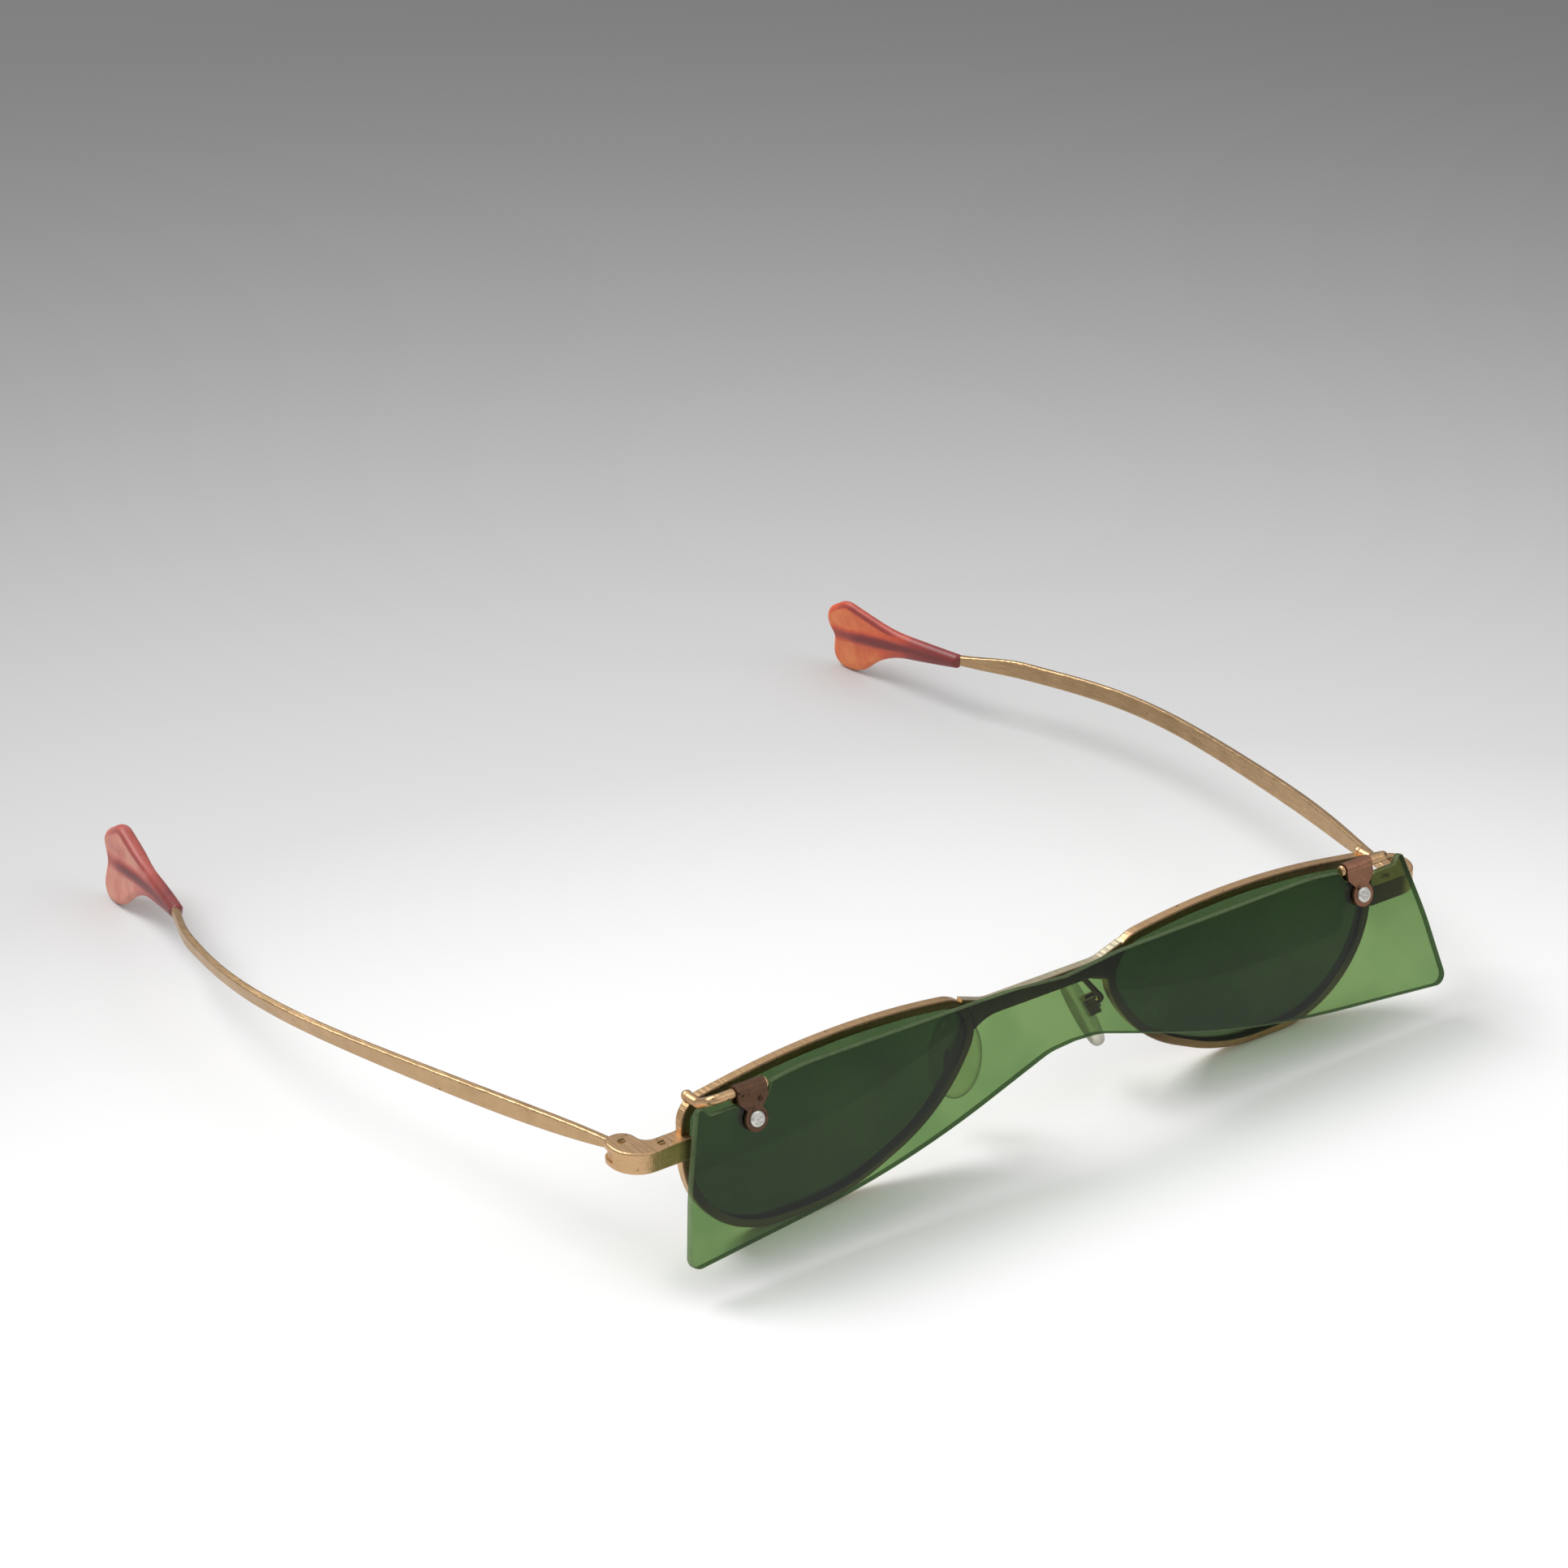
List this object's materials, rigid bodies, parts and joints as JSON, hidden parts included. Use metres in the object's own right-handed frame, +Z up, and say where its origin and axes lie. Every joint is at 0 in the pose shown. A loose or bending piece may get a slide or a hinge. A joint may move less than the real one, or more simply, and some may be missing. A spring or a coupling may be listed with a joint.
{
  "type": "flip up sunglasses",
  "caption": "Half-eye metal spectacles with tinted lenses, folding temples, rocking nose pads and a tinted sheet hinged in front that flips up.",
  "frame": {"origin": "under the middle of the overall box, on the table that the rims and the temple tips stand on", "axes": "+X to the wearer's left, -Y the way the glasses look, +Z up"},
  "size_m": [0.1512, 0.1392, 0.025],
  "materials": {
    "gold_filled_wire": "rolled gold on wire and strip, polished and worn",
    "worn_bridge_band": "rolled gold worn to its pale base",
    "temple_band": "rolled gold strip, burnished, finely scratched",
    "tinted_lens": "ground and polished, blue-green tint",
    "green_sheet": "pressed celluloid sheet, polished, green",
    "amber_tip": "moulded amber and red translucent plastic, polished",
    "clear_pad": "clear moulded plastic",
    "copper_leaf": "bent copper strip, tarnished",
    "white_rivet": "cold headed, bright",
    "plated_screw": "turned and plated"
  },
  "bodies": {
    "front": {"bridge": "worn_bridge_band", "left_rim": "gold_filled_wire", "left_lens": "tinted_lens", "left_endpiece_upper": "gold_filled_wire", "left_endpiece_lower": "gold_filled_wire", "left_closing_screw": "plated_screw", "left_hinge_screw": "plated_screw", "left_shield_hook": "gold_filled_wire", "left_pad_arm": "gold_filled_wire", "right_rim": "gold_filled_wire", "right_lens": "tinted_lens", "right_endpiece_upper": "gold_filled_wire", "right_endpiece_lower": "gold_filled_wire", "right_closing_screw": "plated_screw", "right_hinge_screw": "plated_screw", "right_shield_hook": "gold_filled_wire", "right_pad_arm": "gold_filled_wire"},
    "shield": {"flip_shield": "green_sheet", "left_clip": "copper_leaf", "left_clip_rivet": "white_rivet", "right_clip": "copper_leaf", "right_clip_rivet": "white_rivet"},
    "left_arm": {"left_temple": "temple_band", "left_temple_tip": "amber_tip"},
    "left_pad": {"left_nose_pad": "clear_pad", "left_pad_box": "gold_filled_wire"},
    "right_arm": {"right_temple": "temple_band", "right_temple_tip": "amber_tip"},
    "right_pad": {"right_nose_pad": "clear_pad", "right_pad_box": "gold_filled_wire"}
  },
  "joints": [
    {"name": "shield_flip", "type": "hinge", "parent": "front", "child": "shield", "pos_m": [0, -0.06398, 0.024], "axis": [-1, 0, 0], "range_deg": [-20, 160]},
    {"name": "left_temple_fold", "type": "hinge", "parent": "front", "child": "left_arm", "pos_m": [0.0636, -0.05638, 0.01625], "axis": [0, 0, 1], "range_deg": [0, 89]},
    {"name": "right_temple_fold", "type": "hinge", "parent": "front", "child": "right_arm", "pos_m": [-0.0636, -0.05638, 0.01625], "axis": [0, 0, -1], "range_deg": [0, 81]},
    {"name": "left_pad_rock", "type": "hinge", "parent": "front", "child": "left_pad", "pos_m": [0.01181, -0.05622, 0.01239], "axis": [0.5878, 0.809, 0], "range_deg": [-8, 8]},
    {"name": "right_pad_rock", "type": "hinge", "parent": "front", "child": "right_pad", "pos_m": [-0.01195, -0.05632, 0.01193], "axis": [-0.5878, 0.809, 0], "range_deg": [-8, 8]}
  ]
}
